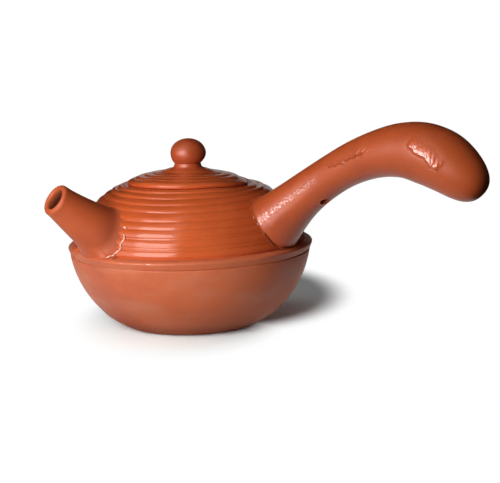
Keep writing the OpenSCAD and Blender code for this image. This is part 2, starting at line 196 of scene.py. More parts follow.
def clay_finish(name, tint, shade, clouds, rough, grain, lines, dark=0.10, specular=0.5, bloom=0.0):
    """Clay of one finish. rough is the range of roughness, grain and lines are (scale, depth), dark is the
    share of colour that painted shade takes away where its mark is 1, and bloom is the share of pale clouds."""
    material = bpy.data.materials.new(name)
    material.use_nodes = True
    tree = material.node_tree
    shader = tree.nodes["Principled BSDF"]
    look = wire(tree, "Group", {"Tint": clay_colour(*tint), "Shade": clay_colour(*shade), "Scale": clouds,
                                "Bloom": bloom}, node_tree=clay_clouds).outputs
    skin = wire(tree, "Group", {"Scale": grain[0], "Depth": grain[1]}, node_tree=fired_grain).outputs
    wheel = wire(tree, "Group", {"Lines": lines[0], "Depth": lines[1]}, node_tree=wheel_lines).outputs
    hollow, burnish = [wire(tree, "Attribute", attribute_name=mark).outputs["Fac"]
                       for mark in ("hollow", "burnish")]
    # Painted shade: the colour is darker where the mark of painted shade is high.
    unshaded = ramp(tree, hollow, first=1.0, last=1.0 - dark, clamp=False)
    gloss = ramp(tree, look["Cloud"], first=rough[0], last=rough[1])
    patchy = reckon(tree, "ADD", burnish, skin["Speckle"])
    height = reckon(tree, "ADD", skin["Height"], wheel["Height"])
    bump = wire(tree, "Bump", {"Strength": 1.0, "Distance": BUMP_DEPTH, "Height": height})
    feeds = {
        "Base Color": scaled(tree, look["Color"], unshaded),
        "Roughness": reckon(tree, "MULTIPLY_ADD", hollow, SHADE_MARK_DULL, gloss),
        "Coat Weight": ramp(tree, patchy, POLISH_BEGINS, POLISH_FULL),
        "Normal": bump.outputs["Normal"],
    }
    for socket, value in feeds.items():
        tree.links.new(value, shader.inputs[socket])
    shader.inputs["Specular IOR Level"].default_value = specular
    shader.inputs["Coat Roughness"].default_value = COAT_ROUGH
    shader.inputs["Coat IOR"].default_value = COAT_IOR
    return material


HAND_SMOOTHED = {"clouds": 45.0, "grain": (1300.0, 0.30), "lines": (300.0, 0.05)}
bowl_clay = clay_finish("bowl_clay", (212, 110, 69), (196, 95, 58), clouds=34.0, rough=(0.46, 0.58),
                        grain=(700.0, 0.30), lines=(500.0, 0.25), specular=0.42, bloom=0.38)
ribbed_clay = clay_finish("ribbed_clay", (214, 98, 51), (204, 90, 45), clouds=50.0, rough=(0.11, 0.16),
                          grain=(1100.0, 0.12), lines=(2200.0, 0.32), dark=0.13, specular=0.42)
smooth_clay = clay_finish("smooth_clay", (186, 84, 42), (175, 76, 37), rough=(0.35, 0.42), specular=0.36,
                          **HAND_SMOOTHED)
knob_clay = clay_finish("knob_clay", (182, 80, 41), (171, 72, 36), rough=(0.36, 0.42), specular=0.60,
                        **HAND_SMOOTHED)
spout_clay = clay_finish("spout_clay", (201, 95, 53), (189, 86, 46), rough=(0.46, 0.56), specular=0.36,
                         **HAND_SMOOTHED)
inner_clay = clay_finish("inner_clay", (188, 84, 50), (170, 72, 42), clouds=60.0, rough=(0.55, 0.65),
                         grain=(900.0, 0.4), lines=(900.0, 0.6))
# Near-white: partly the slip's own colour, partly a painted highlight.
slip_and_painted_highlight = clay_finish("slip_and_painted_highlight", (255, 226, 208), (248, 205, 180), clouds=300.0, rough=(0.15, 0.25),
                        grain=(2000.0, 0.3), lines=(300.0, 0.0))
finishes = (bowl_clay, ribbed_clay, smooth_clay, knob_clay, spout_clay, inner_clay, slip_and_painted_highlight)
print("finishes:", ", ".join(finish.name for finish in finishes))

# %% [markdown]
# ## From a section to a turned piece
# A potter makes a section and the wheel turns it. Blender has a Spin tool and a Screw modifier for that, but
# a grid of points worked out in numpy can also waver round the pot, as hand-thrown clay does. A section
# starts as a line of corners. A running mean wears every corner round, as a wet sponge does, and rows are
# then picked closer together where the line bends.

# %% Helpers for sections
STEP, BEND_WEIGHT = 0.05, 5


def arc(centre, radius, start, stop, count):
    """Points on a circle about centre, from one angle to another, in degrees."""
    a = np.radians(np.linspace(start, stop, count))
    return np.column_stack([centre[0] + radius * np.cos(a), centre[1] + radius * np.sin(a)])


def worn(corners, blur, closed=False):
    """Even points along a line of corners, then a running Gaussian mean of width blur over them."""
    line = np.vstack([corners, corners[:1]]) if closed else np.asarray(corners, float)
    length = np.r_[0, np.cumsum(np.hypot(*np.diff(line, axis=0).T))]
    at = np.arange(0, length[-1], STEP)
    at = at if closed else np.r_[at, length[-1]]
    even = np.column_stack([np.interp(at, length, line[:, k]) for k in (0, 1)])
    reach = int(4 * blur / STEP)
    kernel = np.exp(-0.5 * (np.arange(-reach, reach + 1) * STEP / blur) ** 2)
    padding = {"mode": "wrap"} if closed else {"mode": "reflect", "reflect_type": "odd"}
    padded = np.pad(even, ((reach, reach), (0, 0)), **padding)
    return np.column_stack([np.convolve(padded[:, k], kernel / kernel.sum(), "valid") for k in (0, 1)])


def spaced(line, rows, closed=False, finer=None):
    """Rows picked from a fine line, closer together in proportion to its bend and to the weight finer."""
    run = np.gradient(line, axis=0)
    turn = np.abs(np.gradient(np.unwrap(np.arctan2(run[:, 1], run[:, 0])))) / STEP
    share = np.cumsum(1 + BEND_WEIGHT * turn + (0 if finer is None else finer))
    share = (share - share[0]) / (share[-1] - share[0])
    pick = np.interp(np.linspace(0, 1, rows, endpoint=not closed), share, np.arange(len(line)))
    return np.column_stack([np.interp(pick, np.arange(len(line)), line[:, k]) for k in (0, 1)])


def between_tips(line):
    """Radii and heights of a section between its two ends on the axis, and those ends as points."""
    return line[1:-1, :1], line[1:-1, 1:], (0, 0, line[0, 1]), (0, 0, line[-1, 1])


def smooth_step(x):
    """0 below 0 and 1 above 1, with a smooth rise between."""
    x = np.clip(x, 0, 1)
    return x * x * (3 - 2 * x)


def around(columns):
    """Angles of the columns of a turned piece, as one row."""
    return np.linspace(0, 2 * np.pi, columns, endpoint=False)[None, :]


def turned(r, z, angle):
    """Points of a turned piece: x is r cos(angle), y is r sin(angle), at height z."""
    r, z, angle = np.broadcast_arrays(r, z, angle)
    return np.stack([r * np.cos(angle), r * np.sin(angle), z], -1)


# %% From a grid of points to a piece
def skin_faces(rows, columns, closed):
    """Quads of a grid whose columns go round. They are ordered so that the normal is round x along."""
    i, j = np.meshgrid(np.arange(rows if closed else rows - 1), np.arange(columns), indexing="ij")
    k, n = (i + 1) % rows, (j + 1) % columns
    return np.stack([i * columns + j, i * columns + n, k * columns + n, k * columns + j], -1).reshape(-1, 4)


def put_piece(name, grid, finish, body, node=None, first=None, last=None, closed=False, hollow=None,
              burnish=None):
    """Makes a piece from a grid in millimetres. first and last are the points that close its two ends, and
    hollow and burnish are the marks that its finish reads."""
    rows, columns = grid.shape[:2]
    points, faces = grid.reshape(-1, 3), skin_faces(rows, columns, closed).tolist()
    ring = np.arange(columns)
    for tip, start in ((first, 0), (last, (rows - 1) * columns)):
        if tip is not None:
            a, b = start + ring, start + np.roll(ring, -1)
            hub = np.full(columns, len(points))
            faces += np.column_stack([hub, b, a] if start == 0 else [hub, a, b]).tolist()
            points = np.vstack([points, tip])
    mesh = bpy.data.meshes.new(name)
    mesh.from_pydata(points * MM, [], faces)
    mesh.polygons.foreach_set("use_smooth", np.ones(len(mesh.polygons), bool))
    for mark, share in (("hollow", hollow), ("burnish", burnish)):
        values = np.zeros(len(points), np.float32)
        if share is not None:
            values[:rows * columns] = np.broadcast_to(share, (rows, columns)).ravel()
        mesh.attributes.new(mark, "FLOAT", "POINT").data.foreach_set("value", values)
    mesh.materials.append(finish)
    piece = bpy.data.objects.new(name, mesh)
    bpy.context.scene.collection.objects.link(piece)
    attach(piece, body)
    if node:
        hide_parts(node)
    triangles = sum(len(p) - 2 for p in faces)
    print(name, ":", len(points), "points,", triangles, "triangles")


# %% [markdown]
# ## The bowl
# The lower half is a round bowl with a flat base. Its section is one arc outside and one inside, with a notch
# at the top for the waist band and a rim that carries the shoulder. A sphere cut flat would also look like a
# bowl, but it would have no wall when the lid is lifted.

# %% Bowl
BAND_R, LAND_R, SEAM_Z, BAND_LOW, BAND_HIGH = 56.0, 52.2, 36.4, 33.8, 39.0
BOWL_CENTRE, BOWL_R, WALL, FLOOR = np.array([12.221, 39.799]), 43.0, 3.2, 4.0
RIM_R, RIM_STRAIGHT, RIM_DEPTH = 49.55, 3.0, 5.4
BASE_HOLLOW = [[0, 0.35], [20, 0.35], [22.5, 0]]


def bowl_grid(columns):
    """The section goes from the middle of the base, up the outside, over the rim and down to the floor. Round
    the pot the radius swells by a tenth of a millimetre, as a slow wave of the angle and the height. Two bell
    curves of the height make the heel, just above the table, a little wider."""
    inside = BOWL_R - WALL
    base, top = [np.degrees(np.arcsin((z - BOWL_CENTRE[1]) / BOWL_R)) for z in (0, BAND_LOW)]
    low, high = [np.degrees(np.arcsin((z - BOWL_CENTRE[1]) / inside)) for z in (FLOOR, SEAM_Z - RIM_DEPTH)]
    rim = [[LAND_R, BAND_LOW], [LAND_R, SEAM_Z], [RIM_R, SEAM_Z], [RIM_R, SEAM_Z - RIM_STRAIGHT]]
    section = np.vstack([BASE_HOLLOW, arc(BOWL_CENTRE, BOWL_R, base, top, 60), rim,
                         arc(BOWL_CENTRE, inside, high, low, 50), [0, FLOOR]])
    r, z, first, last = between_tips(spaced(worn(section, 0.3), 230))
    a = around(columns)
    swell = 0.10 * np.sin(2 * a + 0.09 * z) + 0.06 * np.sin(5 * a - 0.16 * z + 1.0)
    r = r + swell * np.clip(r / 30, 0, 1) * np.clip((34 - z) / 6, 0, 1)
    heel = 0.7 * np.exp(-((z - 4.5) / 4) ** 2) + 0.8 * np.exp(-(z / 1.6) ** 2)
    r = r + heel * np.clip((r - 24) / 4, 0, 1)
    return turned(r, z, a), first, last


grid, first, last = bowl_grid(256)
put_piece("bowl", grid, bowl_clay, "pot", "lower_bowl", first, last)

# %% [markdown]
# ## The waist band
# A rolled strip of clay covers the seam. It is a round bead, pressed on by hand, so its height and its width
# waver a little round the pot. A torus would be quick, but it can't be flat where it sits on the pot.

# %% Waist band
BEAD_LOW = np.array([[54.8, 33.8], [55.2, 34.3], [55.65, 35.1], [55.9, 36.1]])
WIPED_LOW = np.array([[54.8, 33.8], [55.0, 34.5], [55.3, 35.4], [55.65, 36.3]])
BEAD_TOP = np.array([[55.9, 36.7], [55.55, 37.3], [54.9, 37.8], [53.9, 38.1], [LAND_R, 38.3]])
CRISP_WEAR, SOFT_WEAR, BAND_POLISH = 0.22, 0.45, 0.50


def bead_section(low, wear):
    """Closed section of the band with a given lower side, its corners worn round."""
    return spaced(worn(np.vstack([[LAND_R, BAND_LOW], low, BEAD_TOP]), wear, closed=True), 64, closed=True)


def band_grid(columns):
    """The section is a bead on a flat back. At the front it is wiped down to the bowl on its lower side, and
    at the back it keeps its edge: one section blends into the other with the angle. Height and reach waver
    too. Also returns the mark called burnish, a polish that sets in just below the middle of the bead and
    stays above it."""
    crisp, soft = bead_section(BEAD_LOW, CRISP_WEAR), bead_section(WIPED_LOW, SOFT_WEAR)
    a = around(columns)
    front = smooth_step(0.75 + 0.75 * np.cos(a + np.radians(75)))
    r, z = [crisp[:, k:k + 1] + front * (soft - crisp)[:, k:k + 1] for k in (0, 1)]
    out = np.clip((r - LAND_R - 0.6) / 2, 0, 1)
    reach = 0.12 * np.sin(3 * a + 0.4) + 0.08 * np.sin(7 * a + 2.0)
    lift = 0.16 * np.sin(2 * a + 1.2) + 0.10 * np.sin(5 * a)
    polish = BAND_POLISH * smooth_step((z - 35.6) / 0.8) * out
    return turned(r + out * reach, z + out * lift, a), polish


grid, polish = band_grid(320)
put_piece("waist_band_strip", grid, bowl_clay, "pot", "waist_band", closed=True, burnish=polish)

# %% [markdown]
# ## The ribbed shoulder
# The shoulder is a dome with nine throwing ridges, made by a rib held against the turning clay. Near the lid
# the ridges are steps, with a steep lower side, and near the band they are round. Two of them have a thin
# second crest. A bump texture would leave the outline smooth, so the ridges are in the surface itself. The
# grooves are angles about the centre of the dome's round, in degrees. Each ridge has a crest, in millimetres,
# and a lean, the share of its width at which the crest stands.

# %% Ridges
SHOULDER_CENTRE, SKIN_R, INNER_R = np.array([17.819, 30.923]), 35.4, 32.2
SEAT_R, SEAT_Z, MOUTH_R, COLLAR = 30.0, 64.8, 22.5, 6.0
SEAT_SAG, SEAT_FRONT, GROOVE_SHARE = 1.1, 0.45, 0.45
GROOVES = np.array([11.9, 18.2, 20.6, 26.2, 27.8, 33.3, 39.4, 47.2, 53.9, 60.7, 66.6, 71.6])
CRESTS = np.array([0.36, 0.26, 0.36, 0.22, 0.36, 0.35, 0.38, 0.42, 0.48, 0.56, 0.58])
LEANS = np.array([0.50, 0.50, 0.48, 0.50, 0.46, 0.44, 0.42, 0.38, 0.34, 0.30, 0.30])
SADDLES = np.array([0.0, 0.0, 0.09, 0.0, 0.09, 0.0, 0.0, 0.0, 0.0, 0.0, 0.0, 0.0])


def to_right(r, a):
    """How far a point of a turned piece lies to the right in the picture."""
    return r * (np.cos(a) * right.x + np.sin(a) * right.y)


def towards_front(r, a):
    """0 at the middle and the sides of the pot, 1 at the rim of its mouth on the side of the camera."""
    front = -r * (np.cos(a) * ahead.x + np.sin(a) * ahead.y) / SEAT_R
    return smooth_step((front - 0.1) / 0.7)


def seat_drop(r, a):
    """How much lower the seat and the lid's edge are than true: the mouth sagged on the right in the picture,
    and stands a little higher at the front."""
    return SEAT_SAG * smooth_step((to_right(r, a) / SEAT_R - 0.35) / 0.55) - SEAT_FRONT * towards_front(r, a)


def ridge_height(at, grooves, crests, leans, saddles):
    """Height of the ridges at a place between grooves. Each ridge is two parabolas that meet at its crest,
    which leans to one side, on a line from one saddle to the next. Also returns the mark called hollow,
    painted shade that grows with how near the place is to a groove."""
    k = np.clip(np.searchsorted(grooves, at, side="right") - 1, 0, len(crests) - 1)
    t = np.clip((at - grooves[k]) / (grooves[k + 1] - grooves[k]), 0, 1)
    side = np.where(t < leans[k], (leans[k] - t) / leans[k], (t - leans[k]) / (1 - leans[k]))
    ground = saddles[k] + t * (saddles[k + 1] - saddles[k])
    near = np.clip(np.abs(2 * t - 1) - (1 - GROOVE_SHARE), 0, 1) / GROOVE_SHARE
    return ground + (crests[k] - ground) * (1 - side ** 2), near ** 2


# %% Shoulder
def shoulder_grid(columns):
    """The section is a closed loop: seam, land, dome, seat, collar and the dome's inside. On the dome's
    outside, the ridges stand off along the radius of the round, and their grooves waver with the angle. Also
    returns the mark called hollow, painted shade in the bottoms of the grooves."""
    seat = np.degrees(np.arctan2(SEAT_Z - SHOULDER_CENTRE[1], SEAT_R - SHOULDER_CENTRE[0]))
    foot = np.degrees(np.arcsin((BAND_HIGH - SHOULDER_CENTRE[1]) / SKIN_R))
    mouth = np.degrees(np.arccos((MOUTH_R + WALL - SHOULDER_CENTRE[0]) / INNER_R))
    seam = np.degrees(np.arcsin((SEAM_Z - SHOULDER_CENTRE[1]) / INNER_R))
    section = np.vstack([
        [[RIM_R, SEAM_Z], [LAND_R, SEAM_Z], [LAND_R, BAND_HIGH]],
        arc(SHOULDER_CENTRE, SKIN_R, foot, seat, 200),
        [[SEAT_R - 0.6, SEAT_Z], [MOUTH_R, SEAT_Z], [MOUTH_R, SEAT_Z - COLLAR]],
        [[MOUTH_R + WALL, SEAT_Z - COLLAR]],
        arc(SHOULDER_CENTRE, INNER_R, mouth, seam, 60),
    ])
    line = worn(section, 0.25, closed=True)
    on_top = np.hypot(*(line - SHOULDER_CENTRE).T) > SKIN_R - 0.25
    line = spaced(line, 236, closed=True, finer=9.0 * on_top)
    a = around(columns)
    arm = line - SHOULDER_CENTRE
    off, at = np.hypot(*arm.T)[:, None], np.degrees(np.arctan2(arm[:, 1], arm[:, 0]))[:, None]
    waver = (0.30 * np.sin(a + 0.07 * at) + 0.18 * np.sin(3 * a + 0.19 * at + 1.0)
             + 0.10 * np.sin(8 * a + 0.5 * at))
    height, near = ridge_height(at + waver, GROOVES, CRESTS, LEANS, SADDLES)
    height = height * (1 + 0.10 * np.sin(2 * a + at) + 0.06 * np.sin(6 * a + 0.7 * at))
    skin = np.clip((off - SKIN_R + 0.3) / 0.25, 0, 1) * (line[:, 1:] > BAND_HIGH - 0.2)
    unit = arm / off
    r = line[:, :1] + unit[:, :1] * height * skin
    z = np.minimum(line[:, 1:] + unit[:, 1:] * height * skin, SEAT_Z)
    z = z - seat_drop(r, a) * smooth_step((36 - r) / 6) * (line[:, 1:] > SEAT_Z - 8)
    # The bottoms of the grooves get painted shade.
    return turned(r, z, a), near * skin


grid, hollow = shoulder_grid(384)
put_piece("ribbed_dome", grid, ribbed_clay, "pot", "ribbed_shoulder", closed=True,
          hollow=hollow)

# %% [markdown]
# ## The lid
# The lid is a low dome with four stepped ridges and a faint fifth by the knob. It lies loose on the seat, and
# the ring under it stays a CAD solid. A small air hole at the back lets the tea pour. It is a pit in the
# grid, pushed down inside its circle. The steps are distances in from the edge.

# %% Lid
LID_R, LID_T, LID_CENTRE_Z, LID_ROUND_R = 27.5, 3.0, -9.98, 81.18
LID_STEPS = np.array([0.0, 3.9, 7.8, 11.7, 15.6, 19.0])
LID_CRESTS = np.array([0.42, 0.30, 0.26, 0.20, 0.08])
LID_LEANS = np.array([0.30, 0.32, 0.32, 0.35, 0.50])
LID_TILT, LID_FRONT, LID_CURL, LID_CROWN = 1.1, 0.75, 0.35, 1.2
VENT_TURN, VENT_OUT, VENT_R, VENT_DEPTH = np.radians(105), 14.0, 1.2, 2.4


def lid_grid(columns):
    """The section goes out under the lid, up its edge and back over the dome. The ridges stand up from the
    dome by the distance in from the edge, and the air hole goes down by a smooth step inside its radius. The
    lid is a little out of true: the dome is lower on the right in the picture, higher at the front and
    steeper by the knob, and the edge follows the seat and curls down on the left. Also returns the mark
    called hollow, painted shade in the grooves and in the air hole."""
    under_r = LID_ROUND_R - LID_T
    seat = np.degrees(np.arcsin((SEAT_Z - LID_CENTRE_Z) / under_r))
    edge = np.degrees(np.arccos(LID_R / LID_ROUND_R))
    section = np.vstack([
        arc((0, LID_CENTRE_Z), under_r, 90, seat, 30),
        [[LID_R - 0.2, SEAT_Z], [LID_R, SEAT_Z + 0.3]],
        arc((0, LID_CENTRE_Z), LID_ROUND_R, edge, 90, 60),
    ])
    line = worn(section, 0.5)
    on_top = np.hypot(line[:, 0], line[:, 1] - LID_CENTRE_Z) > LID_ROUND_R - 0.3
    r, z, first, last = between_tips(spaced(line, 210, finer=4.0 * on_top))
    a = around(columns)
    upper = np.clip((np.hypot(r, z - LID_CENTRE_Z) - LID_ROUND_R + 0.35) / 0.3, 0, 1)
    waver = 0.12 * np.sin(2 * a + 0.3 * r) + 0.08 * np.sin(5 * a + 0.8 * r)
    height, near = ridge_height(LID_R - r + waver, LID_STEPS, LID_CRESTS, LID_LEANS, 0 * LID_STEPS)
    z = z + height * upper * np.clip((r - 6) / 3, 0, 1)
    from_vent = np.hypot(r * np.cos(a) - VENT_OUT * np.cos(VENT_TURN),
                         r * np.sin(a) - VENT_OUT * np.sin(VENT_TURN))
    pit = np.clip((VENT_R - from_vent) / 0.45, 0, 1) * upper
    z = z - VENT_DEPTH * smooth_step(pit)
    across = to_right(r, a) / LID_R
    z = z - LID_TILT * upper * (1 + across) / 2 - seat_drop(r, a) * smooth_step((r - 21) / 6)
    curl = LID_CURL * (1 - across) * smooth_step((r - 22.5) / 5)
    z = z + upper * (LID_FRONT * towards_front(r, a) - curl + LID_CROWN * smooth_step((14 - r) / 8))
    # Painted shade in the lid's grooves and in its air hole.
    return turned(r, z, a), first, last, np.maximum(near * upper, pit)


grid, first, last, hollow = lid_grid(320)
put_piece("lid_shell", grid, ribbed_clay, "lid", "lid_dome", first, last, hollow=hollow)

# %% [markdown]
# ## The knob
# The knob is a ball, a little wider than high, on a short neck that spreads onto the lid. Where the ball was
# set on the neck a thin groove is left, painted dark as shade, with a ledge under it. One section, turned,
# has them all.

# %% Knob
KNOB_Z, KNOB_R, KNOB_HALF, KNOB_OFF = 78.1, 8.1, 6.7, 0.4
KNOB_FOOT = np.array([[0, 68.9], [10.4, 68.9], [10.2, 69.75], [8.7, 70.8], [7.4, 71.4], [6.6, 71.9],
                      [6.3, 72.4], [6.2, 72.9], [6.05, 73.5], [5.9, 73.7], [6.1, 73.9]])
NECK_LOW, NECK_GROOVE, NECK_GROOVE_SHADE = 72.5, 73.8, 1.3


def knob_grid(columns):
    """The section goes from inside the lid, out under the foot, up the neck and over the ball, an ellipse, to
    its top. The ball stands a little to one side of the neck. Also returns the mark called hollow, painted
    shade in the groove under the ball."""
    ball = np.array([0, KNOB_Z]) + arc((0, 0), 1, -37, 90, 60) * np.array([KNOB_R, KNOB_HALF])
    r, z, first, last = between_tips(spaced(worn(np.vstack([KNOB_FOOT, ball]), 0.15), 150))
    a = around(columns)
    lump = 0.07 * np.sin(2 * a + 0.3 * z) + 0.05 * np.sin(3 * a + 0.8 * z)
    # Painted shade in the groove under the ball.
    hollow = NECK_GROOVE_SHADE * np.exp(-((z - NECK_GROOVE) / 0.35) ** 2) * (r < 7)
    grid = turned(r + lump * np.clip(r / 5, 0, 1), z, a)
    lean = KNOB_OFF * np.array([right.x, right.y, 0])
    return grid + np.clip((grid[..., 2:] - NECK_LOW) / 4, 0, 1) * lean, first, last + lean, hollow


grid, first, last, hollow = knob_grid(160)
put_piece("ball_knob", grid, knob_clay, "lid", "lid_knob", first, last, hollow=hollow)

# %% [markdown]
# ## The skin of the pot, for what is luted to it
# The spout and the handle are stuck to the pot, so their feet follow its skin. The pot's outside is known as
# a distance: a point is so far off the dome, the band or the bowl, whichever is nearest. A few steps down the
# slope of that distance bring any point onto the skin. A shrinkwrap modifier does the same, but less exactly.

# %% Distance to the pot
BEAD_R, RIDGE_MEAN, FAR = 2.6, 0.3, 99


def off_pot(p):
    """Distance of points off the pot: the least of those to the dome, the band's bead and the bowl."""
    r, z = np.hypot(p[..., 0], p[..., 1]), p[..., 2]
    dome = np.hypot(r - SHOULDER_CENTRE[0], z - SHOULDER_CENTRE[1]) - SKIN_R - RIDGE_MEAN
    band = np.hypot(r - BAND_R + BEAD_R, z - SEAM_Z) - BEAD_R
    below = np.hypot(r - BOWL_CENTRE[0], z - BOWL_CENTRE[1]) - BOWL_R
    return np.minimum(np.minimum(np.where(z < SEAM_Z, FAR, dome), band), np.where(z > SEAM_Z, FAR, below))


def unit_rows(v):
    """Vectors made one long, along the last axis."""
    return v / np.maximum(np.linalg.norm(v, axis=-1, keepdims=True), 1e-9)


def pot_normal(p):
    """Direction in which the distance to the pot grows fastest, from small differences along each axis."""
    h = 0.02 * np.eye(3)
    return unit_rows(np.stack([off_pot(p + h[k]) - off_pot(p - h[k]) for k in range(3)], -1))


def onto_pot(p, proud=0.0):
    """Points moved along that direction until they are proud of the pot by the given distance."""
    for _ in range(6):
        p = p - (off_pot(p) - proud)[..., None] * pot_normal(p)
    return p


def bend_between(a, b, c, rows):
    """Quadratic Bezier from a to c, pulled towards b, as rows of points."""
    t = np.linspace(0, 1, rows)[:, None, None]
    return (1 - t) ** 2 * a + 2 * t * (1 - t) * b + t ** 2 * c


# %% [markdown]
# ## The spout
# The spout is a straight cone with a round lip. Its foot is wiped out over the pot, further on the lower side
# and towards the front, so that it runs into the shoulder and over the band. The cone is one grid about its
# own line, and the foot is a bend from the cone to a place on the pot's skin.

# %% Line of the spout
SPOUT_TURN, SPOUT_RISE, SPOUT_Z, SPOUT_REACH = np.radians(-113), np.radians(39.5), 7.6, 89.0
TIP_R, BORE_R, HOLE_R, TAPER, SKEW = 7.1, 4.6, 8.2, np.tan(np.radians(10.0)), 0.09
BORE_END, BORE_WIDENS = 62.0, [63.6, 75.0]
spout_line = np.array([np.cos(SPOUT_TURN) * np.cos(SPOUT_RISE), np.sin(SPOUT_TURN) * np.cos(SPOUT_RISE),
                       np.sin(SPOUT_RISE)])
spout_side = np.array([-np.sin(SPOUT_TURN), np.cos(SPOUT_TURN), 0])
spout_top = np.cross(spout_line, spout_side)


def on_spout(t, radius, angle):
    """Points at a distance t along the spout's line and at a radius from it. The angle runs from its top. The
    spout was set on a little askew, so its line is off the pot's middle, more so towards the foot."""
    t, radius, angle = np.broadcast_arrays(t, radius, angle)
    out = np.cos(angle)[..., None] * spout_top + np.sin(angle)[..., None] * -spout_side
    middle = t[..., None] * spout_line + SKEW * (SPOUT_REACH - t)[..., None] * spout_side
    return np.array([0, 0, SPOUT_Z]) + middle + radius[..., None] * out


# %% Spout
SPREAD_AT = np.radians([0, 43, 78, 92, 105, 125, 155, 180, 210, 250, 285, 320, 360])
SPREAD = np.array([2.0, 2.0, 2.0, 2.2, 2.8, 4.6, 8.0, 9.2, 8.4, 6.4, 4.6, 3.0, 2.0])
WIDER = np.array([1.4, 1.6, 1.8, 1.8, 1.8, 1.4, 0.4, 0.0, 0.0, 0.0, 0.0, 0.6, 1.4])
BORE_SHADE, TOP_SHADE, JOINT_SHADE = 9.0, 1.8, 3.2


def cone_radius(t, wider):
    """Radius of the cone: a straight taper, a slight flare at the tip, and wider towards the foot."""
    from_tip = SPOUT_REACH - t
    flare = 0.4 * np.exp(-(from_tip / 3) ** 2)
    return TIP_R - 0.4 + from_tip * TAPER + flare + wider * np.clip((80 - t) / 25, 0, 1.2) ** 2


def spout_grid(columns):
    """Rows go from the foot on the pot, up the cone, round the lip and down the bore to the pot's wall. The
    mouth is cut a little aslant, so its upper side reaches further. Also returns the mark called hollow, all
    of
    it painted shade: the bore is painted darker with depth, and the top and the joint on the right are
    painted a little darker too, where the spout lies in shade."""
    a = around(columns)
    near = 2 * np.pi - a
    lip_r = (TIP_R - BORE_R) / 2
    level_tip = SPOUT_REACH - lip_r
    tip = level_tip + 0.4 + 0.5 * np.cos(a)
    wider, spread = np.interp(near, SPREAD_AT, WIDER), np.interp(near, SPREAD_AT, SPREAD)
    fine = np.linspace(level_tip, 50, 900)[:, None]
    inside = off_pot(on_spout(fine, cone_radius(fine, wider), a)) < 0
    meets = fine[np.argmax(inside, axis=0), 0][None, :]
    start = meets + 0.75 * spread + 1.0
    corner = on_spout(meets, cone_radius(meets, wider), a)
    foot = onto_pot(on_spout(meets - 0.3 * spread, cone_radius(meets, wider) + spread, a), -0.1)
    buried = onto_pot(foot + 1.2 * unit_rows(foot - corner), -0.7)
    bend = bend_between(foot, corner, on_spout(start, cone_radius(start, wider), a), 26)
    t = start + np.linspace(0, 1, 60)[1:, None] * (tip - start)
    half = np.radians(np.linspace(0, 180, 18)[1:, None])
    lip = on_spout(tip + 0.85 * lip_r * np.sin(half), TIP_R - lip_r + lip_r * np.cos(half), a)
    bore_t = tip + np.linspace(0, 1, 30)[1:, None] * (BORE_END - tip)
    bore = on_spout(bore_t, np.interp(bore_t, BORE_WIDENS, [HOLE_R, BORE_R]), a)
    uneven = 0.05 * np.sin(3 * a + 0.3 * t) + 0.04 * np.sin(2 * a - 0.2 * t)
    grid = np.concatenate([buried, bend, on_spout(t, cone_radius(t, wider) + uneven, a), lip, bore])
    # Painted shade: darker down the bore, on the top of the cone and by the joint on the right.
    deep = BORE_SHADE * smooth_step((tip - bore_t + 1.2) / 4.5)
    off_top = np.arctan2(np.sin(near - 0.6), np.cos(near - 0.6))
    top = TOP_SHADE * np.exp(-(off_top / 0.55) ** 2)
    joint = JOINT_SHADE * np.exp(-((near - np.radians(90)) / np.radians(34)) ** 2)
    outside = top * smooth_step((tip - t) / 8) + joint * smooth_step((start + 9 - t) / 9)
    foot_rows = (top + joint) * np.ones((1 + len(bend), 1))
    return grid, np.concatenate([foot_rows, outside, 0 * lip[..., 0], deep])


grid, hollow = spout_grid(192)
inside_end = on_spout(np.array(BORE_END), np.array(0.0), np.array(0.0))
put_piece("spout_cone", grid, spout_clay, "pot", "spout", last=inside_end, hollow=hollow)

# %% [markdown]
# ## The slip line
# Along the right side of the spout's foot, a thin jagged line of slip squeezed out of the joint and dried
# shiny. Its near-white colour is partly the slip's own and partly a painted highlight. It is a thin bead
# along a line of points on the pot's skin. Its width changes along it, and a drop stands just above its upper
# end.

# %% Slip line
SLIP_MARKS = np.array([[-0.61, -49.0, 48.29], [0.1, -49.6, 47.2], [0.33, -50.03, 46.32], [-0.4, -50.6, 45.1],
                       [-1.04, -51.12, 43.75], [-0.56, -51.64, 42.33], [-1.5, -51.9, 41.4],
                       [-2.66, -52.14, 40.5], [-4.0, -53.4, 39.6], [-5.29, -54.61, 38.55],
                       [-6.65, -55.08, 37.96]])
DROP_AT, DROP_LINE, DROP_R = np.array([[-0.93, -47.48, 50.77]]), np.array([0.05, -0.35, 0.93]), 0.62


def bead_grid(path, radius, columns):
    """A round bead along a path: at each point, a ring about the path's direction with the radius there."""
    along = unit_rows(np.gradient(path, axis=0))
    side = unit_rows(np.cross(along, pot_normal(path)))
    out = np.cross(side, along)
    a = around(columns)[..., None]
    ring = np.cos(a) * side[:, None, :] - np.sin(a) * out[:, None, :]
    return path[:, None, :] + radius[:, None, None] * ring


s = np.linspace(0, len(SLIP_MARKS) - 1, 160)
path = np.column_stack([np.interp(s, np.arange(len(SLIP_MARKS)), SLIP_MARKS[:, k]) for k in range(3)])
path = onto_pot(path, 0.22)
ends = np.minimum(1, np.minimum(s + 0.15, s[-1] + 0.15 - s))
thick = (0.28 + 0.08 * np.sin(5.1 * s) + 0.05 * np.sin(11.3 * s + 1)) * ends
put_piece("slip_line", bead_grid(path, thick, 14), slip_and_painted_highlight, "pot", first=path[0],
          last=path[-1])
rise = np.linspace(-1, 1, 22)
path = onto_pot(DROP_AT, 0.1)[0] + DROP_R * rise[:, None] * DROP_LINE
thick = DROP_R * np.sqrt(np.maximum(1 - rise ** 2, 0.01))
put_piece("slip_drop", bead_grid(path, thick, 20), slip_and_painted_highlight, "pot", first=path[0],
          last=path[-1])
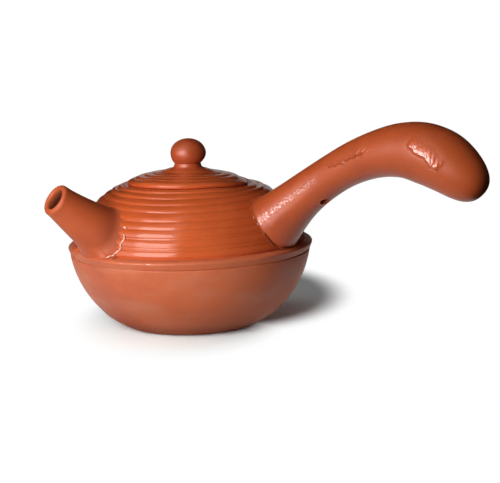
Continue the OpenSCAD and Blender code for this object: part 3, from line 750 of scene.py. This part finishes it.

# %% [markdown]
# ## The handle
# The handle is thrown as a tube, drawn in at its waist and closed to a bulb at its end, then bent a little
# and luted on. A curve with a bevel would give the tube, but its foot could not follow the pot. Here the
# radius and the middle line are smooth curves through stations, and each side of the tube stops just short of
# the pot. There it is wiped out over the pot, or turns in as a round edge, with the crack of the joint as a
# thin skirt, painted dark as the shade in the crack. A station is a distance from the axis, a height and a
# radius.

# %% Middle line of the handle
STATIONS = np.array([[42.47, 46.0, 14.3], [58.97, 60.0, 10.0], [75.97, 71.8, 8.7], [93.97, 80.4, 9.7],
                     [109.97, 83.8, 11.6], [122.24, 82.7, 12.9], [133.02, 78.0, 0.0], [147.1, 67.1, 0.0]])
EGG_FROM, EGG_SPANS, EGG_BLUNT, EGG_ROUND = 5, 2, 3.4, 0.58


def station_curve(values, u):
    """Smooth curve through values at whole numbers: between two of them, a cubic whose slopes follow their
    neighbours, with the ends repeated."""
    i = np.minimum(u.astype(int), len(values) - 2)
    v = np.concatenate([values[:1], values, values[-1:]])
    a, b, c, d = v[i], v[i + 1], v[i + 2], v[i + 3]
    t = (u - i)[:, None]
    return b + t / 2 * (c - a + t * (2 * a - 5 * b + 4 * c - d + t * (3 * b - a - 3 * c + d)))


def run_along(line):
    """Distance along a line of points, from its start."""
    return np.r_[0, np.cumsum(np.hypot(*np.diff(line, axis=0).T))]


egg = EGG_FROM + EGG_SPANS * np.sin(np.radians(np.linspace(0, 90, 300)))
u = np.r_[np.linspace(0, EGG_FROM, 501)[:-1], egg]
middle = station_curve(STATIONS[:, :2], u)
grip = np.vstack([STATIONS[:EGG_FROM + 1, 2:], STATIONS[EGG_FROM - 1:EGG_FROM, 2:]])
tube = station_curve(grip, np.minimum(u, EGG_FROM))[:, 0]
past = np.maximum(u - EGG_FROM, 0) / EGG_SPANS
closing = STATIONS[EGG_FROM, 2] * np.maximum(0, 1 - past ** EGG_BLUNT) ** EGG_ROUND
tube = np.where(u > EGG_FROM, closing, tube)
run = run_along(middle)
even = worn(middle, 3.5)
even_run = run_along(even)
middle = np.column_stack([np.interp(run / run[-1], even_run / even_run[-1], even[:, k]) for k in (0, 1)])
heads = unit_rows(np.gradient(middle, axis=0))
profile = run_along(np.column_stack([run, tube]))
print("handle: middle line", round(run[-1], 1), "mm, along the skin", round(profile[-1], 1), "mm")

# %% Marks on the handle
RADIAN = 57.3
AIR_HOLE_S, AIR_HOLE_ANGLE, AIR_HOLE_R, AIR_HOLE_DEPTH = 34.0, 251, 2.1, 3.6
SCAR_S, SCAR_ANGLES = [45.5, 50, 54.9, 60, 67.3], [162, 169, 173, 172, 171]
SCAR_FROM, SCAR_TO, BLOB_S, FLAP_S = 45, 67, 54.9, 65
FLAKE_S, FLAKE_ANGLE, FLAKE_COS, FLAKE_SIN = 95.0, 166, 0.96, 0.28
THUMB_S, THUMB_ANGLES, THUMB_WIDE, THUMB_POLISH, THUMB_FLAT = [12, 46], [171, 176], 21, 0.60, 0.85


def round_tube(degrees, centre, radius):
    """Distance round the tube from a centre, both angles in degrees."""
    return (degrees - centre) / RADIAN * radius


def air_hole(s, degrees, radius):
    """A pit with a low lip, painted dark inside as shade. Each mark gives its height, its share of hollow and
    its share of burnish.
    """
    away = np.hypot(s - AIR_HOLE_S, round_tube(degrees, AIR_HOLE_ANGLE, radius))
    # The pit is painted dark inside, as shade.
    pit = smooth_step((AIR_HOLE_R - away) / 0.5)
    lip = 0.20 * np.exp(-((away - 2.3) / 0.5) ** 2)
    return lip - AIR_HOLE_DEPTH * pit, 8.0 * pit, 0 * pit


def scar(s, degrees, radius):
    """A jagged groove with a raised side, a shiny blob on it and a crumpled flap at its end. The groove is
    painted darker, as shade.
    """
    across = round_tube(degrees, np.interp(s, SCAR_S, SCAR_ANGLES), radius)
    jagged = across - 0.25 * np.sin(1.9 * s) - 0.15 * np.sin(4.3 * s + 1)
    on_scar = smooth_step((s - SCAR_FROM) / 3) * smooth_step((SCAR_TO - s) / 3)
    # The groove gets painted shade.
    groove = on_scar * np.exp(-(jagged / 0.32) ** 2)
    side = on_scar * np.exp(-((jagged + 0.8) / 0.5) ** 2)
    blob = np.exp(-((s - BLOB_S) / 0.7) ** 2 - (across / 0.6) ** 2)
    flap = smooth_step(1.3 - np.hypot((s - FLAP_S) / 4, (across + 0.7) / 1.7))
    flap = flap * (0.40 * np.abs(np.sin(0.9 * (s - FLAP_S) + 1.4 * across)) - 0.28)
    return 0.25 * side - 0.42 * groove + 0.5 * blob + flap, 2.2 * groove, blob


def torn_flake(s, degrees, radius):
    """A flake that stands up at a sharp, wavy lower edge and falls off slowly above it, with two cracks
    across it. It is pale and a little polished, and painted dark under its edge as the shadow that falls
    there."""
    along, over = s - FLAKE_S, round_tube(degrees, FLAKE_ANGLE, radius)
    p, above_edge = FLAKE_COS * along + FLAKE_SIN * over, FLAKE_SIN * along - FLAKE_COS * over
    rise = above_edge + 2.2 - 0.42 * np.sin(0.8 * p + 0.8) - 0.12 * np.sin(2.1 * p)
    ends = smooth_step((8.8 - np.abs(p)) / 2.2)
    crack = sum(np.exp(-((p - at + slant * above_edge) / 0.35) ** 2)
                for at, slant in ((-4.2, -0.5), (5.4, 0.3)))
    flake = 0.58 * smooth_step(rise / 0.8) * np.clip(1.15 - rise / 5.2, 0, 1) * (1 - 0.4 * crack)
    ripple = np.sin(2.9 * p + 2.4 * above_edge) * smooth_step(rise / 1.5) * smooth_step((5.5 - rise) / 2)
    # Painted shadow under the flake's edge.
    under = ends * np.exp(-((rise + 0.1) / 0.4) ** 2)
    torn = ends * smooth_step((rise + 0.2) / 0.5) * smooth_step((5.6 - rise) / 4.0)
    return ends * (flake + 0.05 * ripple) - 0.35 * under, 2.5 * under - 2.0 * torn, 0.64 * torn


def handle_marks(s, angle, radius):
    """Height of the marks at a distance s along the handle and an angle round it, with the marks called
    hollow, which is painted shade, and burnish: slow lumps from the hand, the air hole, the scar, the torn
    flake, and a strip by the foot that a thumb pressed flat and polished."""
    degrees = np.degrees(angle)
    lumps = 0.07 * np.sin(0.11 * s + 2 * angle) + 0.05 * np.sin(0.23 * s - 3 * angle + 1)
    off_strip = (degrees - np.interp(s, THUMB_S, THUMB_ANGLES)) / THUMB_WIDE
    thumbed = THUMB_POLISH * smooth_step((50 - s) / 14) * np.exp(-off_strip ** 2)
    heights, hollows, polishes = zip(*(mark(s, degrees, radius) for mark in (air_hole, scar, torn_flake)))
    return lumps - THUMB_FLAT * thumbed + sum(heights), sum(hollows), np.maximum.reduce([thumbed, *polishes])


def normals_of(grid):
    """Normal at each point of a grid whose columns go round: round x along, by its neighbours."""
    along = np.gradient(grid, axis=0)
    turn = np.roll(grid, -1, axis=1) - np.roll(grid, 1, axis=1)
    return unit_rows(np.cross(turn, along))


# %% Handle
EDGE_AT = np.radians([0, 90, 150, 200, 240, 270, 310, 360])
EDGES = np.array([1.2, 1.8, 2.4, 2.0, 1.0, 0.6, 0.8, 1.2])
WIPED_AT = np.radians([0, 60, 100, 150, 180, 205, 240, 275, 310, 360])
WIPED = np.array([1.5, 1.8, 2.2, 1.8, 0.6, -1.0, -0.9, -0.5, 0.8, 1.5])
CRACK_ANGLE, CRACK_WIDE, CRACK_OUT, CRACK_SHADE = 228, 48, 0.75, 4.0


def on_handle(at, angle):
    """Points of the tube at a distance along its skin: the middle line, plus the radius towards the angle."""
    at, angle = np.broadcast_arrays(at, angle)
    x, z, r, hx, hz = (np.interp(at, profile, v) for v in (*middle.T, tube, *heads.T))
    return np.stack([x - r * np.sin(angle) * hz, r * np.cos(angle), z + r * np.sin(angle) * hx], -1)


def handle_grid(rows, columns):
    """Each column starts where the tube is an edge's width off the pot and runs to the tip. Before it, a bend
    goes down to the pot's skin: outwards where the joint was wiped smooth, inwards where it was left as a
    round edge. A skirt round the foot shows as the crack on the lower side and is buried elsewhere, and the
    crack is painted dark, as shade. The marks then move points along normals. Columns are closer together on
    the side where the marks are. Also returns the middle of the foot and the marks called hollow and burnish."""
    a = around(columns)
    a = a + 0.5 * np.sin(a + np.radians(10))
    edge = np.interp(a, EDGE_AT, EDGES, period=2 * np.pi)
    wiped = np.interp(a, WIPED_AT, WIPED, period=2 * np.pi)[..., None]
    fine = np.linspace(0, 60, 1200)[:, None]
    start = fine[np.argmax(off_pot(on_handle(fine, a)) > edge, axis=0), 0][None, :]
    at = start + np.linspace(0, 1, rows)[:, None] * (profile[-1] - 0.15 - start)
    wall = on_handle(at, a)
    corner = onto_pot(on_handle(np.maximum(start - 1.2 * edge, 0), a))
    outward = unit_rows(corner - np.mean(corner, axis=1, keepdims=True))
    base = onto_pot(corner + wiped * outward)
    bend = bend_between(base, corner, wall[:1], 16)[:-1]
    low = np.exp(-((np.degrees(np.mod(a, 2 * np.pi)) - CRACK_ANGLE) / CRACK_WIDE) ** 4)[..., None]
    skirt = onto_pot(corner + (wiped * (1 - low) + CRACK_OUT * low) * outward, 0.22)
    skirt = skirt - (0.5 * (1 - low)) * pot_normal(skirt)
    buried = onto_pot(skirt + 0.6 * np.tanh(wiped / 0.4) * (1 - low) * outward, -1.0)
    s, radius = np.interp(at, profile, run), np.interp(at, profile, tube)
    height, hollow, burnish = handle_marks(s, np.mod(a, 2 * np.pi), radius)
    fade = smooth_step((at - start) / 3) * smooth_step((profile[-1] - at) / 6)
    wall = wall + (height * fade)[..., None] * normals_of(wall)
    foot = np.concatenate([buried, skirt, bend])
    # Painted shade: the crack at the foot's lower side is painted dark.
    crack = CRACK_SHADE * low[..., 0] * np.clip(1.5 - np.arange(len(foot))[:, None] / 7, 0, 1)
    hollow, burnish = np.concatenate([crack, hollow]), np.concatenate([0 * crack + burnish[:1], burnish])
    return np.concatenate([foot, wall]), np.mean(buried, axis=(0, 1)), hollow, burnish


grid, first, hollow, burnish = handle_grid(470, 200)
tip = on_handle(np.array(profile[-1]), np.array(0.0))
put_piece("handle_tube", grid, smooth_clay, "pot", "handle", first, tip, hollow=hollow,
          burnish=burnish)

# %% [markdown]
# ## Pieces that stay CAD solids
# The strainer behind the spout and the ring under the lid are right as they are. Only their finish is new.

# %% Finish of the CAD solids
for node in ("spout_strainer", "lid_locating_ring"):
    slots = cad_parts[node].data.materials
    slots.clear()
    slots.append(inner_clay)
    print(node, "has", slots[0].name)

# %% [markdown]
# ## Floor, light and background
# The pot stands on a pale table. A soft window light comes from the left of the camera, a little higher than
# the pot. It is two lamps: one is seen only in reflections and draws the short streaks on the ridges, and the
# other only lights the clay. The end of the window, further left, and a card behind the pot are seen only in
# reflections too: one gives the streak on the handle's foot and the other the grey edges of the ridges.
# Weaker lamps, which no reflection shows, fill the shadows. Behind and above the pot is dark felt, which
# leaves dark edges on the spout and the handle. A camera ray that misses the pot sees white, and the table is
# white too where the shadow has ended. Within the shadow the camera sees a brighter table than the one that
# throws light back onto the pot. By the pot's foot that table is painted a little cooler, which takes out the
# red light that the pot throws onto it: painted light.

# %% Floor
FOOT_AT, FOOT_DEEP, FOOT_WHITE, COOLED_OVAL = (-0.005, 0.010), 1.7, (0.031, 0.052), (0.034, 0.060)
SHADOW_AT, SHADOW_DEEP, SHADOW_WHITE = (0.020, 0.060), 1.5, (0.042, 0.062)
COOL_AGAINST_BOUNCE, TABLE_SEEN, TABLE_LIT = (1.33, 1.58, 1.61, 1), (1.38, 1.48, 1.49, 1), (0.42, 0.42, 0.42, 1)
TABLE_HALF, TABLE_DROP, WHITE = 6.0, 0.0003, (1, 1, 1, 1)


def outside_oval(tree, centre, reach, depth):
    """0 inside an oval on the floor and 1 outside a larger one, across and away from the camera."""
    spot = wire(tree, "TexCoord").outputs["Object"]
    place = wire(tree, "Mapping", {0: spot, "Rotation": (0, 0, float(CAMERA_TURN))}).outputs[0]
    place = wire(tree, "Mapping", {0: place, "Location": (-centre[0], -centre[1] / depth, 0),
                                   "Scale": (1, 1 / depth, 1)}).outputs[0]
    away = wire(tree, "VectorMath", {0: place}, operation="LENGTH").outputs["Value"]
    return ramp(tree, away, *reach, **SOFT_ENDS)


def white_share(tree, seen):
    """Share of white on the floor, for rays that are seen: white outside an oval round the pot's foot and
    another round its shadow. Both are deeper than wide, so that they look round from the camera."""
    foot = outside_oval(tree, FOOT_AT, FOOT_WHITE, FOOT_DEEP)
    shadow = outside_oval(tree, SHADOW_AT, SHADOW_WHITE, SHADOW_DEEP)
    return reckon(tree, "MULTIPLY", seen, reckon(tree, "MINIMUM", foot, shadow))


def ray_seen(tree):
    """1 for a ray from the camera, in a reflection or through glass, 0 for one that only carries light."""
    path = wire(tree, "LightPath").outputs
    seen = reckon(tree, "MAXIMUM", path["Is Camera Ray"], path["Is Glossy Ray"])
    return reckon(tree, "MAXIMUM", seen, path["Is Transmission Ray"])


table = bpy.data.materials.new("pale_table")
table.use_nodes = True
tree = table.node_tree
tree.nodes.remove(tree.nodes["Principled BSDF"])
eye = wire(tree, "LightPath").outputs["Is Camera Ray"]
# Painted light: by the foot the table is cooler, which takes out the red light that the pot throws on it.
shown = blend(tree, outside_oval(tree, FOOT_AT, COOLED_OVAL, FOOT_DEEP), COOL_AGAINST_BOUNCE, TABLE_SEEN)
board = wire(tree, "BsdfDiffuse", {"Color": blend(tree, eye, TABLE_LIT, shown)})
glow = wire(tree, "Emission", {"Color": WHITE, "Strength": 1.0})
white = white_share(tree, ray_seen(tree))
mixed = wire(tree, "MixShader", {0: white, 1: board.outputs[0], 2: glow.outputs[0]})
tree.links.new(mixed.outputs[0], tree.nodes["Material Output"].inputs["Surface"])
mesh = bpy.data.meshes.new("floor")
corners = [(TABLE_HALF * x, TABLE_HALF * y, 0) for x, y in ((-1, -1), (1, -1), (1, 1), (-1, 1))]
mesh.from_pydata(corners, [], [(0, 1, 2, 3)])
mesh.materials.append(table)
floor = bpy.data.objects.new("floor", mesh)
floor.location.z = -TABLE_DROP
bpy.context.scene.collection.objects.link(floor)
print("floor:", len(tree.nodes), "nodes in", table.name)

# %% Dark felt behind and above
FELT_ROWS, FELT_COLUMNS, FELT_NEAR, FELT_R, FELT_LIFT = 12, 40, 0.15, 1.6, 0.0002


def felt_grid():
    """Felt round the pot, except where the window is: out along the table, then up as part of a sphere."""
    turn = np.radians(np.linspace(-100, 190, FELT_COLUMNS))[None, :] + np.arctan2(ahead.x, ahead.y)
    lift = np.radians(np.linspace(0, 88, FELT_ROWS))[:, None]
    reach = np.vstack([[[FELT_NEAR]], FELT_R * np.cos(lift)])
    z = np.vstack([[[FELT_LIFT]], FELT_LIFT + FELT_R * np.sin(lift)])
    return np.stack(np.broadcast_arrays(reach * np.sin(turn), reach * np.cos(turn), z), -1)


mesh = bpy.data.meshes.new("dark_felt")
quads = skin_faces(FELT_ROWS + 1, FELT_COLUMNS, False).reshape(FELT_ROWS, FELT_COLUMNS, 4)
mesh.from_pydata(felt_grid().reshape(-1, 3), [], quads[:, :-1].reshape(-1, 4).tolist())
felt = bpy.data.materials.new("dark_felt")
felt.use_nodes = True
felt.node_tree.nodes["Principled BSDF"].inputs["Base Color"].default_value = (0.02, 0.02, 0.02, 1)
felt.node_tree.nodes["Principled BSDF"].inputs["Roughness"].default_value = 1.0
mesh.materials.append(felt)
hood = bpy.data.objects.new("dark_felt", mesh)
hood.visible_camera = False
bpy.context.scene.collection.objects.link(hood)
print("felt:", len(mesh.polygons), "faces")

# %% Lamps
LIT_POINT = Vector((0.02, 0, 0.045))


def soft_light(name, turn, lift, distance, width, height, watts, glossy=True, diffuse=True):
    """A rectangular lamp at a direction from the pot, in degrees, that faces the pot's middle."""
    turn, lift = np.radians(turn), np.radians(lift)
    towards = Vector((np.cos(turn) * np.cos(lift), np.sin(turn) * np.cos(lift), np.sin(lift)))
    lamp = bpy.data.lights.new(name, "AREA")
    lamp.shape, lamp.size, lamp.size_y, lamp.energy = "RECTANGLE", width, height, watts
    holder = bpy.data.objects.new(name, lamp)
    holder.location = LIT_POINT + towards * distance
    holder.rotation_euler = (-towards).to_track_quat("-Z", "Y").to_euler()
    holder.visible_glossy, holder.visible_diffuse = glossy, diffuse
    bpy.context.scene.collection.objects.link(holder)
    print(name, "at", [round(x, 2) for x in holder.location])


soft_light("window_light", -94, 19, 0.55, 0.36, 0.40, 2.90, diffuse=False)
soft_light("window_fill", -89, 18, 0.55, 0.30, 0.40, 3.10, glossy=False)
soft_light("window_end", -120, 11, 0.60, 0.24, 0.28, 0.36, diffuse=False)
soft_light("back_card", 116, 6, 1.2, 0.70, 0.28, 0.24, diffuse=False)
soft_light("sky_light", -55, 78, 0.90, 0.60, 0.60, 0.45, glossy=False)
soft_light("side_fill", -160, 28, 0.90, 0.60, 0.60, 0.50, glossy=False)
soft_light("back_fill", 150, 5, 1.0, 1.2, 0.2, 1.8, glossy=False)
soft_light("far_fill", 78, 4, 1.0, 0.8, 0.2, 0.6, glossy=False)

# %% World
ROOM_LIGHT = 0.06
world = bpy.data.worlds.new("studio")
world.use_nodes = True
bpy.context.scene.world = world
tree = world.node_tree
strength = ramp(tree, ray_seen(tree), first=ROOM_LIGHT)
tree.links.new(strength, tree.nodes["Background"].inputs["Strength"])
tree.nodes["Background"].inputs["Color"].default_value = WHITE
bpy.context.scene.view_settings.view_transform = "Standard"
print("world:", len(tree.nodes), "nodes in", world.name)
